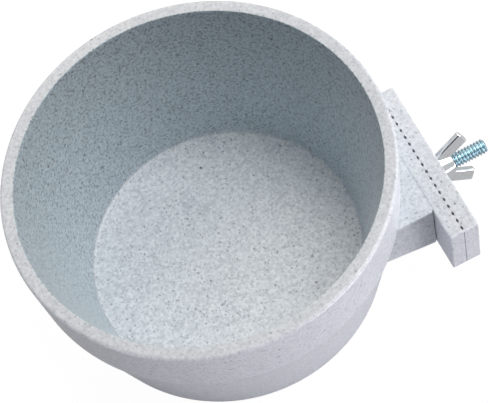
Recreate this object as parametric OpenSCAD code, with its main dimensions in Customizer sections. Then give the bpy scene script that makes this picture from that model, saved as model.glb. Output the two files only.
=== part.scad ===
// Cage water bowl: a round moulded crock that hangs on the bars of a cage.
// A flat arm joins the bowl to a fixed jaw. A second jaw slides on a bolt, and a wing nut
// pulls both toothed faces together on the bars.
// The origin is the centre of the foot, +Z is up, and +X runs along the bolt, out of the cage.

/* [Bowl] */
// Outside radius of the rim
rim_r = 65; // [55:0.5:80]
// Height of the rim above the table
bowl_h = 65.5; // [58:0.5:90]
// Width of the flat ring on top of the wall
rim_w = 4.5; // [3.5:0.1:6]
// How far below the rim the outside wall starts to lean in
waist_drop = 23.5; // [18:0.5:28]
// How much smaller the radius is there than at the rim
waist_in = 1; // [0.5:0.1:2]
// How much smaller the radius is at the foot than at the waist
foot_in = 9.2; // [5:0.1:12]
// Thickness of the wall at the floor
foot_wall = 6.8; // [4:0.1:9]
// Thickness of the floor
floor_t = 2.8; // [2:0.1:5]
// Rounding of the edges of the rim
rim_round = 0.7; // [0.3:0.1:1.2]
// Rounding between the inside wall and the floor
floor_round = 1.6; // [0.5:0.1:4]
// Rounding of the edge of the foot
foot_round = 1.2; // [0.4:0.1:2]

/* [Jaws] */
// Space between the rim and the plane of the cage bars
bar_clear = 2.6; // [1:0.1:6]
// How far the middle of the jaws lies to one side of the bowl's middle
jaw_side = 23; // [15:0.5:28]
// How far below the rim the top of the jaws lies
jaw_drop = 20.8; // [16:0.1:26]
// Length of the jaws along the row of bars
jaw_len = 59.2; // [46:0.1:70]
// Height of the jaws
jaw_h = 23.4; // [18:0.1:28]
// Thickness of the fixed jaw
jaw_t = 5; // [4:0.1:7]
// Thickness of the sliding jaw
clamp_t = 5.4; // [4:0.1:7]
// Rounding of the edges of the jaws
jaw_round = 0.7; // [0.3:0.1:1.8]
// Distance from one groove to the next
groove_p = 2.94; // [2.5:0.01:4]
// Width of a groove
groove_w = 1.8; // [1:0.1:2.2]
// Depth of a groove
groove_d = 0.5; // [0.3:0.05:1.2]
// Shortest land left at each end of the row of grooves
groove_end = 0.6; // [0.4:0.1:2]

/* [Arm] */
// Width of the arm along the jaw
arm_w = 36.6; // [26:0.1:42]
// How far the top of the arm lies below the top of the jaw
arm_step = 0.3; // [0.2:0.1:5]
// Slope of the underside of the arm, which rises towards the bowl, in degrees
arm_slope = 11; // [0:0.5:12]
// Thickness of the walls around the pocket under the arm
arm_wall = 3; // [2:0.1:4]

/* [Bolt] */
// Diameter of the bolt over its thread
bolt_d = 4.2; // [3:0.1:5]
// Length of bolt that stands out of the wing nut
bolt_tail = 11.3; // [10:0.1:20]
// Width of the square head
head_w = 7; // [6:0.1:9]
// Thickness of the square head
head_t = 2.4; // [1.8:0.1:3]
// Bevel at the end of the bolt
bolt_bevel = 0.6; // [0.2:0.1:1]
// Clearance all round the bolt and its head in the fixed jaw
bolt_clear = 0.2; // [0.1:0.05:0.5]
// Clearance all round the bolt in the sliding jaw
slide_clear = 0.3; // [0.2:0.05:0.6]
// Clearance all round the bolt in the wing nut
thread_clear = 0.1; // [0.05:0.01:0.2]

/* [Wing nut] */
// Height of the hub
nut_h = 7; // [5:0.1:9]
// Diameter of the hub where it meets the jaw
nut_base_d = 9.4; // [8.5:0.1:12]
// Diameter of the hub at its outer end
nut_top_d = 7.6; // [7:0.1:10]
// Distance from wing tip to wing tip
wing_span = 20.8; // [16:0.1:26]
// How far the wing tips reach past the hub
wing_rise = 5.5; // [3:0.1:7]
// Width of a wing across its blade
wing_w = 3.8; // [2.4:0.1:4.6]
// Thickness of a wing
wing_t = 2; // [1.6:0.1:3]
// Angle between a wing and the bolt, in degrees
wing_lean = 27; // [20:1:45]
// Rounding of the corners of a wing tip
wing_round = 0.7; // [0.2:0.1:1.2]
// Space between the wings and the sliding jaw
wing_gap = 0.8; // [0.4:0.1:1.5]
// How far the wing nut is turned from upright, in degrees
nut_turn = -20; // [-90:1:90]

/* [Hidden] */

$fn = 96;
// Pieces of arc in each rounded corner of an outline
arc_n = 6;
// Overlap that lets a cut pass cleanly through a face
cut = 1;

waist_r = rim_r - waist_in;
waist_z = bowl_h - waist_drop;
foot_r = waist_r - foot_in;
floor_r = foot_r - foot_wall;
inner_r = rim_r - rim_w;

seam_x = rim_r + bar_clear;
back_x = seam_x - jaw_t;
front_x = seam_x + clamp_t;
nut_x = front_x + nut_h;
tip_x = nut_x + bolt_tail;

jaw_y = -jaw_side;
jaw_z = bowl_h - jaw_drop - jaw_h;
bolt_z = jaw_z + jaw_h / 2;
bolt_r = bolt_d / 2;

arm_y = jaw_y - arm_w / 2;
arm_h = jaw_h - arm_step;

groove_n = floor((jaw_len - 2 * groove_end - groove_w) / groove_p) + 1;
slot_w = head_w + 2 * bolt_clear;

grey = "#d9dadd";
zinc = "#b4c0c8";
bright_zinc = "#ccd0d3";

// One corner of an outline, replaced by an arc of radius r
function arc_corner(before, at, after, r) =
    let (u = (before - at) / norm(before - at),
         v = (after - at) / norm(after - at),
         half = acos(u * v) / 2,
         hub = at + (u + v) / norm(u + v) * r / sin(half),
         from = at + u * r / tan(half) - hub,
         sweep = 180 - 2 * half,
         side = cross(u, v) > 0 ? -1 : 1)
    [for (i = [0:arc_n])
        let (a = side * sweep * i / arc_n)
        hub + [from.x * cos(a) - from.y * sin(a), from.x * sin(a) + from.y * cos(a)]];

// An outline whose points are [x, y, radius]
function rounded(points) =
    let (n = len(points))
    [for (i = [0:n - 1])
        let (p = points[i],
             before = points[(i + n - 1) % n],
             after = points[(i + 1) % n])
        each p.z > 0
            ? arc_corner([before.x, before.y], [p.x, p.y], [after.x, after.y], p.z)
            : [[p.x, p.y]]];

// Moves a shape onto the bolt's line and turns it to point outwards
module along_bolt(x) {
    translate([x, jaw_y, bolt_z]) rotate([0, 90, 0]) children();
}

// Half section of the outside of the bowl, filled to the middle
module outside() {
    rotate_extrude() polygon(rounded([
        [0, 0, 0], [foot_r, 0, foot_round], [waist_r, waist_z, 0],
        [rim_r, bowl_h, rim_round], [0, bowl_h, 0]]));
}

// The space for water, with the inner edge of the rim eased
module inside() {
    rotate_extrude() polygon(rounded([
        [0, floor_t, 0], [floor_r, floor_t, floor_round], [inner_r, bowl_h - rim_round, rim_round],
        [inner_r + rim_round, bowl_h, 0], [inner_r + rim_round, bowl_h + cut, 0], [0, bowl_h + cut, 0]]));
}

// Toothed plate seen from above: the toothed edge lies on y = 0 and the body on its left
module jaw_outline(t) {
    difference() {
        polygon(rounded([
            [0, -jaw_len / 2, 0], [0, jaw_len / 2, 0],
            [-t, jaw_len / 2, jaw_round], [-t, -jaw_len / 2, jaw_round]]));
        for (i = [0:groove_n - 1])
            translate([0, (i - (groove_n - 1) / 2) * groove_p])
                polygon([[cut, -groove_w / 2], [0, -groove_w / 2], [-groove_d, 0],
                         [0, groove_w / 2], [cut, groove_w / 2]]);
    }
}

// Toothed plate with its toothed face on x = 0 and the long edges of its back rounded
module jaw_plate(t) {
    intersection() {
        linear_extrude(jaw_h) jaw_outline(t);
        translate([0, jaw_len, 0]) rotate([90, 0, 0]) linear_extrude(2 * jaw_len)
            polygon(rounded([[cut, 0, 0], [cut, jaw_h, 0], [-t, jaw_h, jaw_round], [-t, 0, jaw_round]]));
    }
}

// Arm from the wall to the fixed jaw, with a pocket under its thick end
module arm() {
    pocket_w = arm_w / 2 - slot_w / 2 - 2 * arm_wall;
    difference() {
        translate([0, arm_y + arm_w, jaw_z]) rotate([90, 0, 0]) linear_extrude(arm_w)
            polygon([[0, back_x * tan(arm_slope)], [back_x, 0], [back_x + jaw_t / 2, 0],
                     [back_x + jaw_t / 2, arm_h], [0, arm_h]]);
        translate([0, arm_y + arm_wall, jaw_z - cut]) cube([back_x, pocket_w, arm_h - arm_wall + cut]);
    }
}

// Way from below for the bolt: its head slides up behind the fixed jaw, its shank through the jaw
module bolt_slot() {
    head_top = bolt_z + slot_w / 2;
    translate([back_x - head_t - bolt_clear, jaw_y - slot_w / 2, jaw_z - cut])
        cube([head_t + bolt_clear, slot_w, head_top - jaw_z + cut]);
    translate([back_x - cut / 2, jaw_y - bolt_r - bolt_clear, jaw_z - cut])
        cube([jaw_t + cut, bolt_d + 2 * bolt_clear, jaw_h / 2 + cut]);
    along_bolt(back_x - cut / 2) cylinder(h = jaw_t + cut, r = bolt_r + bolt_clear);
}

// Bowl, arm and fixed jaw, moulded in one piece
module bowl() {
    color(grey) difference() {
        union() {
            outside();
            arm();
            translate([seam_x, jaw_y, jaw_z]) jaw_plate(jaw_t);
        }
        inside();
        bolt_slot();
    }
}

// Outer jaw, which slides on the bolt
module clamp_jaw() {
    color(grey) difference() {
        translate([seam_x, jaw_y, jaw_z]) mirror([1, 0, 0]) jaw_plate(clamp_t);
        along_bolt(seam_x - cut) cylinder(h = clamp_t + 2 * cut, r = bolt_r + slide_clear);
    }
}

// Bolt with a square head that cannot turn in its slot
module bolt() {
    bolt_l = tip_x - back_x + head_t;
    color(zinc) along_bolt(back_x - head_t) union() {
        translate([-head_w / 2, -head_w / 2, 0]) cube([head_w, head_w, head_t]);
        rotate_extrude() polygon([
            [0, 0], [bolt_r, 0], [bolt_r, bolt_l - bolt_bevel], [bolt_r - bolt_bevel, bolt_l], [0, bolt_l]]);
    }
}

// One wing in the plane through the nut's axis: a straight blade that leans out of the hub
module wing() {
    half = wing_w / 2;
    tip = [wing_span / 2 - half * cos(wing_lean), nut_h + wing_rise - half * sin(wing_lean)];
    root_x = nut_top_d / 2 - half * cos(wing_lean);
    blade_l = (tip.x - root_x) / sin(wing_lean);
    rotate([90, 0, 0]) linear_extrude(wing_t, center = true) intersection() {
        translate(tip) rotate(-wing_lean) polygon(rounded([
            [-half, 0, wing_round], [-half, -blade_l, 0], [half, -blade_l, 0], [half, 0, wing_round]]));
        translate([0, wing_gap]) square([wing_span, nut_h + wing_rise]);
    }
}

// Wing nut, which runs on the bolt against the sliding jaw
module wing_nut() {
    color(bright_zinc) along_bolt(front_x) rotate([0, 0, nut_turn]) difference() {
        union() {
            cylinder(h = nut_h, d1 = nut_base_d, d2 = nut_top_d);
            for (side = [0, 1]) mirror([side, 0, 0]) wing();
        }
        translate([0, 0, -cut]) cylinder(h = nut_h + wing_rise + 2 * cut, r = bolt_r + thread_clear);
    }
}

bowl();
clamp_jaw();
bolt();
wing_nut();
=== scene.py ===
import math

import bmesh
import bpy
from mathutils import Matrix, Vector


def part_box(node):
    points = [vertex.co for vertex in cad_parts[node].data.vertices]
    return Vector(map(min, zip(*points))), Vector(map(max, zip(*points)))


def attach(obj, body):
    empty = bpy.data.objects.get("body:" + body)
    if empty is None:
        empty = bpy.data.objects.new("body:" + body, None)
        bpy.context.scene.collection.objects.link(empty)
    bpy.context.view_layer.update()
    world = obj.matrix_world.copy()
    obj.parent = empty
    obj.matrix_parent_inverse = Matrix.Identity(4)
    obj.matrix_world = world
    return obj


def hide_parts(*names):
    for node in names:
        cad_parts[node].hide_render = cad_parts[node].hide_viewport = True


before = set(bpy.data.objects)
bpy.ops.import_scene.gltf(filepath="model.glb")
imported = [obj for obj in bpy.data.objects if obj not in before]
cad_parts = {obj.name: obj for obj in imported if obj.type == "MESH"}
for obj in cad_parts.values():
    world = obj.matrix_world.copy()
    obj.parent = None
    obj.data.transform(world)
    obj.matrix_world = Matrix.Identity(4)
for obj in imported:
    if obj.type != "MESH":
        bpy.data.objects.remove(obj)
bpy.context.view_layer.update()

MM = 0.001
bowl_low, bowl_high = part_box("bowl")
jaw_low, jaw_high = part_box("clamp_jaw")
bolt_low, bolt_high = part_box("bolt")
nut_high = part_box("wing_nut")[1]

# Bowl, from the table up, with a small ledge at the waist
RIM_R = -bowl_low.x
RIM_Z = bowl_high.z
RIM_W = 4.5 * MM
WAIST_Z = RIM_Z - 23.5 * MM
WAIST_R = RIM_R - 1 * MM
WAIST_STEP = 0.7 * MM
FOOT_R = WAIST_R - 9.2 * MM
FLOOR_R = FOOT_R - 6.8 * MM
FLOOR_Z = 2.8 * MM
INNER_R = RIM_R - RIM_W
RIM_ROUND = 1.2 * MM
RIM_IN_ROUND = 0.25 * MM
WAIST_ROUND = 0.25 * MM
FLOOR_ROUND = 0.9 * MM
FOOT_ROUND = 1.2 * MM

# Jaws: the toothed faces meet at the seam, with a thin line at both ends
SEAM_X = jaw_low.x
FRONT_X = jaw_high.x
BACK_X = SEAM_X - 5 * MM
JAW_Y = (jaw_low.y + jaw_high.y) / 2
JAW_Z = (jaw_low.z + jaw_high.z) / 2
JAW_LEN = jaw_high.y - jaw_low.y
JAW_H = jaw_high.z - jaw_low.z
JAW_ROUND = 0.7 * MM
TOOTH_EDGE = 0.05 * MM
SEAM_W = 0.26 * MM
SEAM_D = 0.22 * MM
GROOVE_P = 2.94 * MM
GROOVE_W = 1.8 * MM
GROOVE_D = 0.46 * MM
GROOVE_N = 20

# Arm between the wall and the fixed jaw, which meets the jaw at a thin line round a core
ARM_W = 36.6 * MM
ARM_H = JAW_H - 0.3 * MM
ARM_SLOPE = math.radians(11)
ARM_WALL = 3 * MM
ARM_ROUND = 0.5 * MM
LINE_W = 0.35 * MM
LINE_D = 0.6 * MM
CORE_IN_ARM = 4 * MM
CORE_IN_JAW = 2 * MM
# The arm's hollow end leans out more than the wall's middle, so that it stays within the wall
HOLLOW_OUT = 1.2 * MM
POCKET_X = 0.72 * WAIST_R

# Bolt, with its line through the middle of the jaws
BOLT_R = 2.6 * MM
ROOT_R = 1.98 * MM
PITCH = 1.15 * MM
HEAD_X = bolt_low.x
TIP_X = bolt_high.x
HEAD_W = bolt_high.z - bolt_low.z
TIP_BEVEL = 0.6 * MM
HEAD_ROUND = 0.35 * MM
BOLT_CLEAR = 0.2 * MM
SLIDE_CLEAR = 0.3 * MM
THREAD_CLEAR = 0.1 * MM

# Thread: shares of a pitch along its root or crest and along a flank, and steps in a turn
FLAT_SHARE = 0.1
FLANK_SHARE = 0.4
TURN_STEPS = 40
# It is wound from behind the jaw to past the tip, then cut square and trimmed to a wider rod
WIND_BEFORE = 3 * PITCH
WIND_AFTER = 2
CUT_BEFORE = 1.5 * PITCH
CUT_AFTER = 0.4 * MM
TRIM_R = 1.002 * BOLT_R

# Wing nut, measured from the face that bears on the sliding jaw
NUT_H = 6 * MM
NUT_R = 4.7 * MM
NUT_TOP_R = 3.5 * MM
HUB_TOP_ROUND = 0.4 * MM
HUB_FOOT_ROUND = 0.25 * MM
WING_SPAN = 21.6 * MM
WING_REACH = nut_high.x - FRONT_X + 0.5 * MM
WING_W = 4.5 * MM
WING_T = 2.3 * MM
WING_LEAN = math.radians(27)
WING_GAP = 0.8 * MM
WING_ROUND = 0.7 * MM
WING_EDGE = 0.6 * MM
NUT_TURN = math.radians(-20)

# Sides of the large turned shapes and of the small ones, and the angle up to which edges look smooth
ROUND = 192
FINE = 64
SMOOTH = math.radians(32)
FLAT_WEIGHT = 80

# Points nearer than this are one place, are welded, or count as lying on a cut, in metres
SAME_PLACE = 5e-6
WELD = 1e-6
ON_CUT = 1e-7
# A cutting tool runs this far past the faces that it cuts
OVERCUT = 1 * MM


# Modelling steps that every piece uses

def added():
    """The primitive just added, with its place and size moved into its mesh."""
    bpy.ops.object.transform_apply(location=True, rotation=True, scale=True)
    return bpy.context.object


def only(piece):
    """Makes one piece the selected and active one."""
    bpy.ops.object.select_all(action="DESELECT")
    piece.select_set(True)
    bpy.context.view_layer.objects.active = piece


def block(low, high):
    """A box between two corners."""
    low, high = Vector(low), Vector(high)
    bpy.ops.mesh.primitive_cube_add(size=1, location=(low + high) / 2, scale=high - low)
    return added()


def rod(radius, x_from, x_to):
    """A cylinder on the bolt's line."""
    bpy.ops.mesh.primitive_cylinder_add(
        vertices=FINE, radius=radius, depth=x_to - x_from,
        location=((x_from + x_to) / 2, JAW_Y, JAW_Z), rotation=(0, math.pi / 2, 0))
    return added()


def near(value, wanted):
    return abs(value - wanted) < SAME_PLACE


def open_mesh(piece):
    """Goes into edit mode on one piece, with nothing selected."""
    only(piece)
    bpy.ops.object.mode_set(mode="EDIT")
    bpy.ops.mesh.select_all(action="DESELECT")


def close_mesh():
    """Welds doubles, turns the faces outwards and leaves edit mode."""
    bpy.ops.mesh.select_all(action="SELECT")
    bpy.ops.mesh.remove_doubles(threshold=WELD)
    bpy.ops.mesh.normals_make_consistent(inside=False)
    bpy.ops.object.mode_set(mode="OBJECT")


def pick(kind, *tests):
    """Selects the vertices, edges or faces whose points all pass one of the tests."""
    bpy.ops.mesh.select_mode(type=kind)
    bpy.ops.mesh.select_all(action="DESELECT")
    data = bpy.context.edit_object.data
    mesh = bmesh.from_edit_mesh(data)
    for item in {"VERT": mesh.verts, "EDGE": mesh.edges, "FACE": mesh.faces}[kind]:
        points = [item.co] if kind == "VERT" else [v.co for v in item.verts]
        if any(all(test(p) for p in points) for test in tests):
            item.select_set(True)
    mesh.select_flush_mode()
    bmesh.update_edit_mesh(data)


def round_edges(width, segments, *tests):
    pick("EDGE", *tests)
    bpy.ops.mesh.bevel(offset=width, segments=segments, affect="EDGES")


def cut_off(x, y, z, outwards):
    """Cuts the whole mesh square to X, drops the side that outwards points to and fills the cut."""
    bpy.ops.mesh.select_all(action="SELECT")
    bpy.ops.mesh.remove_doubles(threshold=WELD)
    bpy.ops.mesh.bisect(plane_co=(x, y, z), plane_no=(outwards, 0, 0), use_fill=True,
                        clear_outer=True, threshold=ON_CUT)


def drop_spare_points():
    """Removes the points that only divide an edge, where thin folds could form."""
    bpy.ops.mesh.select_mode(type="VERT")
    bpy.ops.mesh.select_all(action="DESELECT")
    data = bpy.context.edit_object.data
    mesh = bmesh.from_edit_mesh(data)
    for point in mesh.verts:
        point.select_set(len(point.link_edges) == 2)
    bmesh.update_edit_mesh(data)
    bpy.ops.mesh.dissolve_verts()


def apply_modifier(piece, modifier):
    only(piece)
    bpy.ops.object.modifier_apply(modifier=modifier.name)


def combine(piece, tool, operation):
    """Joins, cuts or trims a piece with a tool, which is used up."""
    modifier = piece.modifiers.new("Combine", "BOOLEAN")
    modifier.operation = operation
    modifier.solver = "EXACT"
    modifier.object = tool
    apply_modifier(piece, modifier)
    bpy.data.objects.remove(tool, do_unlink=True)
    return piece


def copied(piece):
    """A twin of a piece, with its own mesh."""
    twin = piece.copy()
    twin.data = piece.data.copy()
    bpy.context.collection.objects.link(twin)
    return twin


def placed(piece, location, rotation):
    """Turns and moves a piece, and keeps its new place in its mesh."""
    piece.rotation_euler = rotation
    piece.location = location
    only(piece)
    return added()


def settle(piece, name):
    """Names a finished piece and shades it: flat faces stay flat and rounded edges are smooth."""
    open_mesh(piece)
    drop_spare_points()
    close_mesh()
    bpy.ops.object.shade_smooth_by_angle(angle=SMOOTH)
    modifier = piece.modifiers.new("Flat faces", "WEIGHTED_NORMAL")
    modifier.keep_sharp = True
    modifier.weight = FLAT_WEIGHT
    apply_modifier(piece, modifier)
    piece.name = name
    piece.data.name = name
    return piece


# Bowl: a cylinder drawn out to the ledge and the rim, then set in and sunk to the floor

def on_ring(radius, height):
    return lambda p: near(math.hypot(p.x, p.y), radius) and near(p.z, height)


def widen(radius, wanted):
    """Brings the picked ring from one radius to another, at its own height."""
    bpy.ops.transform.resize(value=(wanted / radius, wanted / radius, 1))


def turned_bowl():
    bpy.ops.mesh.primitive_cylinder_add(
        vertices=ROUND, radius=FOOT_R, depth=WAIST_Z, location=(0, 0, WAIST_Z / 2))
    bowl = added()
    open_mesh(bowl)
    pick("FACE", lambda p: near(p.z, WAIST_Z))
    widen(FOOT_R, WAIST_R - WAIST_STEP)
    bpy.ops.mesh.extrude_region_move()
    widen(WAIST_R - WAIST_STEP, WAIST_R)
    bpy.ops.mesh.extrude_region_move(TRANSFORM_OT_translate={"value": (0, 0, RIM_Z - WAIST_Z)})
    widen(WAIST_R, RIM_R)
    bpy.ops.mesh.inset(thickness=RIM_W)
    bpy.ops.mesh.extrude_region_move(TRANSFORM_OT_translate={"value": (0, 0, FLOOR_Z - RIM_Z)})
    widen(INNER_R, FLOOR_R)
    round_edges(RIM_ROUND, 6, on_ring(RIM_R, RIM_Z))
    round_edges(RIM_IN_ROUND, 3, on_ring(INNER_R, RIM_Z))
    round_edges(WAIST_ROUND, 4, on_ring(WAIST_R, WAIST_Z))
    round_edges(FLOOR_ROUND, 5, on_ring(FLOOR_R, FLOOR_Z))
    round_edges(FOOT_ROUND, 4, on_ring(FOOT_R, 0))
    close_mesh()
    return bowl


# Jaws: two plates with upright grooves that face each other

def jaw_plate(x_tooth, x_back):
    """A plate with its toothed face at x_tooth and rounded edges all round its back."""
    ends = (JAW_Y - JAW_LEN / 2, JAW_Y + JAW_LEN / 2)
    levels = (JAW_Z - JAW_H / 2, JAW_Z + JAW_H / 2)
    plate = block((min(x_tooth, x_back), ends[0], levels[0]), (max(x_tooth, x_back), ends[1], levels[1]))
    open_mesh(plate)
    corners = [lambda p, y=y, z=z: near(p.y, y) and near(p.z, z) for y in ends for z in levels]
    round_edges(JAW_ROUND, 4, lambda p: near(p.x, x_back), *corners)
    round_edges(TOOTH_EDGE, 2, *[lambda p, z=z: near(p.x, x_tooth) and near(p.z, z) for z in levels])
    close_mesh()
    for y in ends:
        line = block((x_tooth - SEAM_W / 2, y - SEAM_D, levels[0] - OVERCUT),
                     (x_tooth + SEAM_W / 2, y + SEAM_D, levels[1] + OVERCUT))
        combine(plate, line, "DIFFERENCE")
    return plate


def grooves():
    """Four-sided upright rods, one for each pair of grooves."""
    first_y = JAW_Y - (GROOVE_N - 1) / 2 * GROOVE_P
    bpy.ops.mesh.primitive_cylinder_add(
        vertices=4, radius=1, depth=JAW_H + 2 * OVERCUT, location=(SEAM_X, first_y, JAW_Z),
        scale=(GROOVE_D, GROOVE_W / 2, 1))
    tool = added()
    row = tool.modifiers.new("Row", "ARRAY")
    row.count = GROOVE_N
    row.use_relative_offset = False
    row.use_constant_offset = True
    row.constant_offset_displace = (0, GROOVE_P, 0)
    apply_modifier(tool, row)
    return tool


def arm():
    """The block between the wall and the fixed jaw, hollowed to fit the wall."""
    low_z = JAW_Z - JAW_H / 2
    top_z = low_z + ARM_H
    sides = (JAW_Y - ARM_W / 2, JAW_Y + ARM_W / 2)
    end_x = BACK_X - LINE_W
    slope = math.tan(ARM_SLOPE)
    piece = block((0, sides[0], low_z), (end_x, sides[1], top_z))
    open_mesh(piece)
    pick("VERT", lambda p: near(p.x, 0) and near(p.z, low_z))
    bpy.ops.transform.translate(value=(0, 0, end_x * slope))
    under = [lambda p, y=y: near(p.y, y) and near(p.z, low_z + (end_x - p.x) * slope) for y in sides]
    top = [lambda p, y=y: near(p.y, y) and near(p.z, top_z) for y in sides]
    round_edges(ARM_ROUND, 3, *under, *top)
    close_mesh()
    core = block((end_x - CORE_IN_ARM, sides[0] + LINE_D, low_z + JAW_ROUND),
                 (BACK_X + CORE_IN_JAW, sides[1] - LINE_D, top_z))
    combine(piece, core, "UNION")
    bpy.ops.mesh.primitive_cone_add(
        vertices=ROUND, radius1=(FOOT_R + FLOOR_R) / 2, radius2=(RIM_R + INNER_R) / 2 + HOLLOW_OUT,
        depth=RIM_Z, location=(0, 0, RIM_Z / 2))
    combine(piece, added(), "DIFFERENCE")
    slot_w = HEAD_W + 2 * BOLT_CLEAR
    pocket_w = ARM_W / 2 - slot_w / 2 - 2 * ARM_WALL
    pocket = block((POCKET_X, sides[0] + ARM_WALL, low_z - OVERCUT),
                   (BACK_X, sides[0] + ARM_WALL + pocket_w, top_z - ARM_WALL))
    return combine(piece, pocket, "DIFFERENCE")


def bolt_slot():
    """Way from below for the bolt's head behind the fixed jaw and for its shank through it."""
    half = HEAD_W / 2 + BOLT_CLEAR
    shank = BOLT_R + BOLT_CLEAR
    below = JAW_Z - JAW_H / 2 - OVERCUT
    x_from, x_to = BACK_X - OVERCUT, SEAM_X + OVERCUT
    head = block((HEAD_X - BOLT_CLEAR, JAW_Y - half, below), (BACK_X, JAW_Y + half, JAW_Z + half))
    way = block((x_from, JAW_Y - shank, below), (x_to, JAW_Y + shank, JAW_Z))
    combine(way, rod(shank, x_from, x_to), "UNION")
    return combine(head, way, "UNION")


# Bolt: a thread profile wound up its length, trimmed to a bevelled end, with a square head

def thread_profile(start):
    """One pitch of the thread's outline above the bolt's line: root, flank, crest and flank."""
    bpy.ops.mesh.primitive_plane_add(size=1 * MM, location=start)
    profile = bpy.context.object
    open_mesh(profile)
    pick("VERT", lambda p: p.x > 0 or p.y > 0)
    bpy.ops.mesh.delete(type="VERT")
    bpy.ops.mesh.select_all(action="SELECT")
    bpy.ops.transform.translate(value=(0.5 * MM, 0.5 * MM, ROOT_R))
    rise = BOLT_R - ROOT_R
    for share, out in ((FLAT_SHARE, 0), (FLANK_SHARE, rise), (FLAT_SHARE, 0), (FLANK_SHARE, -rise)):
        bpy.ops.mesh.extrude_vertices_move(TRANSFORM_OT_translate={"value": (share * PITCH, 0, out)})
    bpy.ops.object.mode_set(mode="OBJECT")
    return profile


def threaded_bolt():
    start = Vector((BACK_X - WIND_BEFORE, JAW_Y, JAW_Z))
    bolt = thread_profile(start)
    winding = bolt.modifiers.new("Thread", "SCREW")
    winding.axis = "X"
    winding.angle = 2 * math.pi
    winding.screw_offset = PITCH
    winding.iterations = math.ceil((TIP_X - start.x) / PITCH) + WIND_AFTER
    winding.steps = winding.render_steps = TURN_STEPS
    apply_modifier(bolt, winding)
    added()
    open_mesh(bolt)
    cut_off(BACK_X - CUT_BEFORE, JAW_Y, JAW_Z, -1)
    cut_off(TIP_X + CUT_AFTER, JAW_Y, JAW_Z, 1)
    close_mesh()
    trim = rod(TRIM_R, BACK_X - OVERCUT, TIP_X)
    open_mesh(trim)
    round_edges(TIP_BEVEL, 1, lambda p: near(p.x, TIP_X))
    close_mesh()
    combine(bolt, trim, "INTERSECT")
    half = HEAD_W / 2
    head = block((HEAD_X, JAW_Y - half, JAW_Z - half), (BACK_X, JAW_Y + half, JAW_Z + half))
    open_mesh(head)
    round_edges(HEAD_ROUND, 3, lambda p: True)
    close_mesh()
    return combine(bolt, head, "UNION")


# Wing nut: a tapered hub with two flat wings that lean outwards

def wing():
    """The upper wing, modelled flat and then leaned out from a hub that lies on the X axis."""
    half = WING_W / 2
    tip = Vector((WING_REACH - half * math.sin(WING_LEAN), 0, WING_SPAN / 2 - half * math.cos(WING_LEAN)))
    root_z = NUT_TOP_R - half * math.cos(WING_LEAN)
    length = (tip.z - root_z) / math.sin(WING_LEAN)
    faces = (-WING_T / 2, WING_T / 2)
    blade = block((-length, faces[0], -half), (0, faces[1], half))
    open_mesh(blade)
    round_edges(WING_ROUND, 5, *[lambda p, z=z: near(p.x, 0) and near(p.z, z) for z in (-half, half)])
    round_edges(WING_EDGE, 4, *[lambda p, y=y: near(p.y, y) for y in faces])
    close_mesh()
    placed(blade, tip, (0, -WING_LEAN, 0))
    open_mesh(blade)
    cut_off(WING_GAP, 0, 0, -1)
    close_mesh()
    return blade


def wing_nut():
    along_x = (0, math.pi / 2, 0)
    bpy.ops.mesh.primitive_cone_add(
        vertices=FINE, radius1=NUT_R, radius2=NUT_TOP_R, depth=NUT_H,
        location=(NUT_H / 2, 0, 0), rotation=along_x)
    nut = added()
    open_mesh(nut)
    round_edges(HUB_TOP_ROUND, 3, lambda p: near(p.x, NUT_H))
    round_edges(HUB_FOOT_ROUND, 2, lambda p: near(p.x, 0))
    close_mesh()
    upper = wing()
    lower = placed(copied(upper), (0, 0, 0), (math.pi, 0, 0))
    combine(nut, upper, "UNION")
    combine(nut, lower, "UNION")
    bpy.ops.mesh.primitive_cylinder_add(
        vertices=FINE, radius=BOLT_R + THREAD_CLEAR, depth=4 * NUT_H, rotation=along_x)
    combine(nut, added(), "DIFFERENCE")
    return placed(nut, (FRONT_X, JAW_Y, JAW_Z), (NUT_TURN, 0, 0))


bowl = turned_bowl()
combine(bowl, arm(), "UNION")
groove_tool = grooves()
fixed_jaw = combine(jaw_plate(SEAM_X, BACK_X), copied(groove_tool), "DIFFERENCE")
combine(bowl, fixed_jaw, "UNION")
combine(bowl, bolt_slot(), "DIFFERENCE")
settle(bowl, "moulded_bowl")

outer_jaw = combine(jaw_plate(SEAM_X, FRONT_X), groove_tool, "DIFFERENCE")
combine(outer_jaw, rod(BOLT_R + SLIDE_CLEAR, SEAM_X - OVERCUT, FRONT_X + OVERCUT), "DIFFERENCE")
settle(outer_jaw, "sliding_jaw")

bolt = settle(threaded_bolt(), "threaded_bolt")
nut = settle(wing_nut(), "winged_nut")


# Materials

# Sizes in the plastic: its grain, its clouds, its grey flecks, its dark specks and its skin
GRAIN = 1.1 * MM
CLOUD = 5 * MM
FLECK = 0.85 * MM
SPECK_CELL = 3.2 * MM
SPECK = 1.5 * MM
SPECK_BEND = 1.2 * MM
BEND_WAVE = 0.8 * MM
SKIN = 0.7 * MM
SKIN_RISE = 0.06 * MM

# Sizes in the zinc: patches of tint, and scuffs drawn coarse enough to show
PATCH = 1.6 * MM
SCUFF = 0.5 * MM


def colour(code):
    """A colour such as #DADBDF as linear red, green, blue and alpha."""
    parts = [int(code[i:i + 2], 16) / 255 for i in (1, 3, 5)]
    return [p / 12.92 if p <= 0.04045 else ((p + 0.055) / 1.055) ** 2.4 for p in parts] + [1]


def add(tree, kind, inputs=None, **settings):
    """Adds a node, sets it up and links or sets its inputs."""
    made = tree.nodes.new(kind)
    for name, value in settings.items():
        setattr(made, name, value)
    for name, value in (inputs or {}).items():
        if isinstance(value, bpy.types.NodeSocket):
            tree.links.new(value, made.inputs[name])
        else:
            made.inputs[name].default_value = value
    return made


def new_material(name):
    material = bpy.data.materials.new(name)
    material.use_nodes = True
    tree = material.node_tree
    shader = tree.nodes["Principled BSDF"]
    place = add(tree, "ShaderNodeTexCoord").outputs["Object"]
    return material, tree, shader, place


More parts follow.
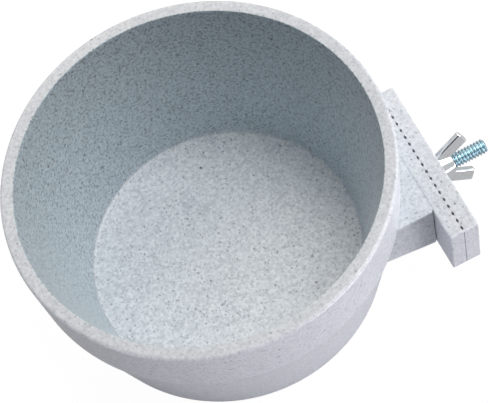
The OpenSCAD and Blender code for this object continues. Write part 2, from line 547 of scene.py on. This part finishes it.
def dark_specks(tree, place):
    """Scattered specks of many sizes: about two in three cells hold one, soft at its edge."""
    cells = add(tree, "ShaderNodeTexVoronoi", {"Vector": place, "Scale": 1 / SPECK_CELL})
    chance = add(tree, "ShaderNodeSeparateColor", {"Color": cells.outputs["Color"]})
    radius = add(tree, "ShaderNodeMapRange", {
        "Value": chance.outputs[0], "From Min": 0.35, "From Max": 1,
        "To Min": 0, "To Max": SPECK / 2 / SPECK_CELL}).outputs[0]
    core = add(tree, "ShaderNodeMath", {0: radius, 1: 0.3}, operation="MULTIPLY").outputs[0]
    shape = add(tree, "ShaderNodeMapRange", {
        "Value": cells.outputs["Distance"], "From Min": radius, "From Max": core,
        "To Min": 0, "To Max": 1}).outputs[0]
    depth = add(tree, "ShaderNodeMapRange", {
        "Value": chance.outputs[1], "To Min": 0.35, "To Max": 1}).outputs[0]
    return add(tree, "ShaderNodeMath", {0: shape, 1: depth}, operation="MULTIPLY").outputs[0]


def inside_shares(tree, place):
    """1 on the faces inside the bowl and 0 on all others, then the same for its inner wall alone."""
    parts = add(tree, "ShaderNodeSeparateXYZ", {"Vector": place})
    height = parts.outputs["Z"]
    flat = add(tree, "ShaderNodeCombineXYZ", {"X": parts.outputs["X"], "Y": parts.outputs["Y"]})
    radius = add(tree, "ShaderNodeVectorMath", {0: flat.outputs[0]}, operation="LENGTH").outputs["Value"]
    limit = add(tree, "ShaderNodeMapRange", {
        "Value": height, "From Min": FLOOR_Z, "From Max": RIM_Z,
        "To Min": (FLOOR_R + FOOT_R) / 2, "To Max": INNER_R + RIM_IN_ROUND}).outputs[0]
    within = add(tree, "ShaderNodeMath", {0: radius, 1: limit}, operation="LESS_THAN").outputs[0]
    shares = []
    for level in (FLOOR_Z / 2, FLOOR_Z + FLOOR_ROUND):
        above = add(tree, "ShaderNodeMath", {0: height, 1: level}, operation="GREATER_THAN").outputs[0]
        share = add(tree, "ShaderNodeMath", {0: within, 1: above}, operation="MULTIPLY").outputs[0]
        shares.append(share)
    return shares


def speckled_plastic():
    """Moulded polypropylene with mineral specks: to the eye a pale grey stone with a dull sheen.
    The specks show less on the outside, which is smoother. The outside is also mixed paler than the inside
    as painted light, and the inner wall gets a cool blue tint as painted shade."""
    material, tree, shader, place = new_material("speckled_polypropylene")
    inside, wall = inside_shares(tree, place)
    # Besides setting how strong the flecks, specks and skin are inside, these shares paint light: the
    # outside is mixed paler as painted light, and the inner wall cooler and bluer as painted shade.
    outside_painted_light, wall_painted_cool_shade, fleck_from, fleck_depth, speck_depth, skin_depth = (
        add(tree, "ShaderNodeMapRange", {"Value": mask, "To Min": elsewhere, "To Max": there}).outputs[0]
        for mask, elsewhere, there in (
            (inside, 0.3, 0), (wall, 0, 0.3), (wall, 0.58, 0.48), (inside, 0.75, 1), (inside, 0.85, 1),
            (inside, 0.25, 0.6)))
    grain, cloud, bend, skin = (
        add(tree, "ShaderNodeTexNoise", {"Vector": place, "Scale": 1 / size, "Detail": detail})
        for size, detail in ((GRAIN, 1.5), (CLOUD, 2), (BEND_WAVE, 2), (SKIN, 2)))

    # Even layers: the grain, then paler clouds
    tone = add(tree, "ShaderNodeMapRange", {
        "Value": grain.outputs[0], "From Min": 0.28, "From Max": 0.72}).outputs[0]
    clouded = add(tree, "ShaderNodeMapRange", {
        "Value": cloud.outputs[0], "From Min": 0.3, "From Max": 0.7, "To Max": 0.3}).outputs[0]

    # Grey flecks, from the peaks of a noise of their own
    fleck = add(tree, "ShaderNodeTexNoise", {
        "Vector": place, "W": 3.7, "Scale": 1 / FLECK, "Detail": 2}, noise_dimensions="4D")
    peak = add(tree, "ShaderNodeMapRange", {
        "Value": fleck.outputs[0], "From Min": fleck_from, "From Max": 0.75}).outputs[0]
    flecked = add(tree, "ShaderNodeMath", {0: peak, 1: fleck_depth}, operation="MULTIPLY").outputs[0]

    # Dark specks, bent out of round
    shift = add(tree, "ShaderNodeVectorMath", {0: bend.outputs["Color"], 1: (0.5, 0.5, 0.5)},
                operation="SUBTRACT").outputs[0]
    shift = add(tree, "ShaderNodeVectorMath", {0: shift, "Scale": SPECK_BEND}, operation="SCALE").outputs[0]
    bent = add(tree, "ShaderNodeVectorMath", {0: place, 1: shift}, operation="ADD").outputs[0]
    speckled = add(tree, "ShaderNodeMath", {0: dark_specks(tree, bent), 1: speck_depth},
                   operation="MULTIPLY").outputs[0]

    base = colour("#AFB6BE")
    # In this mix, the pale colour on the outside is painted light, and the cool blue colour on the inner
    # wall is painted shade.
    for share, code in (
            (tone, "#DBE0E5"), (clouded, "#DEE3E8"), (outside_painted_light, "#D2D6DE"), (wall_painted_cool_shade, "#CDE6EF"),
            (flecked, "#6F7984"), (speckled, "#4B525D")):
        base = add(tree, "ShaderNodeMix", {0: share, 6: base, 7: colour(code)}, data_type="RGBA").outputs[2]
    tree.links.new(base, shader.inputs["Base Color"])
    shader.inputs["Roughness"].default_value = 0.3
    bump = add(tree, "ShaderNodeBump", {
        "Height": skin.outputs[0], "Strength": skin_depth, "Distance": SKIN_RISE})
    tree.links.new(bump.outputs[0], shader.inputs["Normal"])
    return material


def zinc(name, light, dark, roughness):
    """Zinc plate on steel: to the eye a soft mirror with a slightly uneven tint and small scuffs."""
    material, tree, shader, place = new_material(name)
    patch = add(tree, "ShaderNodeTexNoise", {"Vector": place, "Scale": 1 / PATCH, "Detail": 3})
    tint = add(tree, "ShaderNodeMix", {0: patch.outputs[0], 6: colour(dark), 7: colour(light)},
               data_type="RGBA")
    tree.links.new(tint.outputs[2], shader.inputs["Base Color"])
    shader.inputs["Metallic"].default_value = 1
    scuff = add(tree, "ShaderNodeTexNoise", {"Vector": place, "Scale": 1 / SCUFF, "Detail": 3})
    rough = add(tree, "ShaderNodeMapRange", {
        "Value": scuff.outputs[0], "To Min": roughness - 0.08, "To Max": roughness + 0.12})
    tree.links.new(rough.outputs[0], shader.inputs["Roughness"])
    return material


def paint_root_shade(material, shade):
    """Paints shade into the bottom of the thread: the roots are darker than the crests, as painted shade
    between them.
    """
    tree = material.node_tree
    shader = tree.nodes["Principled BSDF"]
    tint = shader.inputs["Base Color"].links[0].from_socket
    place = add(tree, "ShaderNodeTexCoord").outputs["Object"]
    out = add(tree, "ShaderNodeVectorMath", {0: place, 1: (0, JAW_Y, JAW_Z)}, operation="SUBTRACT")
    out = add(tree, "ShaderNodeVectorMath", {0: out.outputs[0], 1: (0, 1, 1)}, operation="MULTIPLY")
    radius = add(tree, "ShaderNodeVectorMath", {0: out.outputs[0]}, operation="LENGTH").outputs["Value"]
    crest = add(tree, "ShaderNodeMapRange", {
        "Value": radius, "From Min": ROOT_R, "From Max": BOLT_R}).outputs[0]
    shaded = add(tree, "ShaderNodeMix", {0: crest, 6: colour(shade), 7: tint}, data_type="RGBA")
    tree.links.new(shaded.outputs[2], shader.inputs["Base Color"])


plastic = speckled_plastic()
# Blue-passivated zinc, satin, on the bolt, and clear bright zinc on the cast wing nut
blue_zinc = zinc("blue_zinc_plate", "#D3E6EC", "#BAD3DC", 0.36)
# The bolt's thread roots get painted shade, darker than the crests.
paint_root_shade(blue_zinc, "#93B1BC")
bright_zinc = zinc("bright_zinc_plate", "#ECEFF0", "#DDE1E3", 0.12)

for piece, body, node, slot, material in (
        (bowl, "bowl", "bowl", "speckled_plastic", plastic),
        (outer_jaw, "clamp_jaw", "clamp_jaw", "speckled_plastic", plastic),
        (bolt, "bowl", "bolt", "blue_zinc", blue_zinc),
        (nut, "wing_nut", "wing_nut", "bright_zinc", bright_zinc)):
    piece.data.materials.clear()
    piece.data.materials.append(material)
    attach(piece, body)
    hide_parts(node)


# Floor, lamps, room and camera

FLOOR_SIZE = 6
FLOOR_BELOW = 0.05 * MM
# Shares of white that the floor adds for the camera and for reflections, and how white that is
CAMERA_WHITE = 0.85
GLOSSY_WHITE = 0.15
WHITE_LEVEL = 1.14

# Lamps stand far off and aim just above the table. Strips are level with the rim, so that they
# light the outside and don't shine into the bowl. Azimuth 0 is +X and 90 is +Y, in degrees.
LAMP_FAR = 2.5
LAMP_AIM = 0.03
WIDE = (1.6, 1.6)
STRIP = (1.6, 0.1)
LAMPS = (
    ("overhead", 0, 70, WIDE, 44.5, "#FEFDFB"),
    ("right", 0, 40, WIDE, 10, "#F9FDFF"),
    ("back", 90, 40, WIDE, 22, "#FFEFE2"),
    ("left", 140, 35, WIDE, 4, "#F9FDFF"),
    ("low_left", 205, 0.3, STRIP, 19, "#F9F5FB"),
    ("low_front", 305, 0.3, STRIP, 36, "#FBF5F8"),
    ("low_right", 338, 0.3, STRIP, 21, "#FBF5F8"))

# A dim cool room, which shiny faces reflect as a pale tent with a dark mouth at the front
ROOM_LEVEL = 0.01
TENT_MOUTH = (-0.35, -0.45, 0.82)
TENT_LEVEL = 0.65
MOUTH_LEVEL = 0.05
MOUTH_EDGE = (0.65, 0.85)

# A long lens that looks down into the bowl, rolled a little, aimed off the middle of the rim
AZIMUTH, ELEVATION, ROLL = (math.radians(a) for a in (-9.19, 62.31, 18.79))
DISTANCE = 560.55 * MM
AIM_RIGHT = 15.38 * MM
AIM_UP = -9.71 * MM
LENS = 128.93
SENSOR = 36
CLIP_START = 0.01


def pale_floor():
    """Matt white paper: near white to the camera, with the soft shadow kept."""
    bpy.ops.mesh.primitive_plane_add(size=FLOOR_SIZE, location=(0, 0, -FLOOR_BELOW))
    floor = added()
    floor.name = "floor"
    material, tree, shader = new_material("white_paper")[:3]
    shader.inputs["Base Color"].default_value = colour("#B4B4B8")
    shader.inputs["Roughness"].default_value = 0.9
    ray = add(tree, "ShaderNodeLightPath")
    shine = add(tree, "ShaderNodeMath", {0: ray.outputs["Is Glossy Ray"], 1: GLOSSY_WHITE},
                operation="MULTIPLY")
    share = add(tree, "ShaderNodeMath", {
        0: ray.outputs["Is Camera Ray"], 1: CAMERA_WHITE, 2: shine.outputs[0]}, operation="MULTIPLY_ADD")
    white = add(tree, "ShaderNodeEmission", {"Color": (1, 1, 1, 1), "Strength": WHITE_LEVEL})
    mix = add(tree, "ShaderNodeMixShader", {0: share.outputs[0], 1: shader.outputs[0], 2: white.outputs[0]})
    tree.links.new(mix.outputs[0], tree.nodes["Material Output"].inputs["Surface"])
    floor.data.materials.append(material)


def soft_lamp(name, azimuth, elevation, size, power, tint):
    """An oval lamp that aims at the bowl from a direction in degrees."""
    turn, rise = math.radians(azimuth), math.radians(elevation)
    towards = Vector((math.cos(turn) * math.cos(rise), math.sin(turn) * math.cos(rise), math.sin(rise)))
    bpy.ops.object.light_add(type="AREA", location=Vector((0, 0, LAMP_AIM)) + LAMP_FAR * towards)
    lamp = bpy.context.object
    lamp.name = name
    lamp.data.shape = "ELLIPSE"
    lamp.data.size, lamp.data.size_y = size
    lamp.data.energy = power
    lamp.data.color = colour(tint)[:3]
    lamp.rotation_euler = (-towards).to_track_quat("-Z", "Y").to_euler()


def studio_room():
    world = bpy.data.worlds.new("studio")
    bpy.context.scene.world = world
    world.use_nodes = True
    tree = world.node_tree
    room = tree.nodes["Background"]
    room.inputs["Color"].default_value = colour("#CEE3FF")
    room.inputs["Strength"].default_value = ROOM_LEVEL
    direction = add(tree, "ShaderNodeTexCoord").outputs["Generated"]
    facing = add(tree, "ShaderNodeVectorMath", {0: direction, 1: TENT_MOUTH}, operation="DOT_PRODUCT")
    glow = add(tree, "ShaderNodeMapRange", {
        "Value": facing.outputs["Value"], "From Min": MOUTH_EDGE[0], "From Max": MOUTH_EDGE[1],
        "To Min": TENT_LEVEL, "To Max": MOUTH_LEVEL})
    tent = add(tree, "ShaderNodeBackground", {"Color": colour("#F6F9FB"), "Strength": glow.outputs[0]})
    ray = add(tree, "ShaderNodeLightPath")
    mix = add(tree, "ShaderNodeMixShader", {
        0: ray.outputs["Is Glossy Ray"], 1: room.outputs[0], 2: tent.outputs[0]})
    tree.links.new(mix.outputs[0], tree.nodes["World Output"].inputs["Surface"])


def photo_camera():
    flat = math.cos(ELEVATION)
    back = Vector((math.sin(AZIMUTH) * flat, -math.cos(AZIMUTH) * flat, math.sin(ELEVATION)))
    level = Vector((math.cos(AZIMUTH), math.sin(AZIMUTH), 0))
    rise = back.cross(level)
    right = math.cos(ROLL) * level - math.sin(ROLL) * rise
    up = math.sin(ROLL) * level + math.cos(ROLL) * rise
    aim = Vector((0, 0, RIM_Z)) + AIM_RIGHT * right + AIM_UP * up
    lens = bpy.data.cameras.new("camera")
    lens.sensor_width = SENSOR
    lens.sensor_fit = "HORIZONTAL"
    lens.lens = LENS
    lens.clip_start = CLIP_START
    camera = bpy.data.objects.new("camera", lens)
    bpy.context.collection.objects.link(camera)
    turned = Matrix((right, up, back)).transposed().to_4x4()
    camera.matrix_world = Matrix.Translation(aim + DISTANCE * back) @ turned
    bpy.context.scene.camera = camera


pale_floor()
for lamp in LAMPS:
    soft_lamp(*lamp)
studio_room()
photo_camera()
bpy.context.scene.view_settings.view_transform = "Standard"
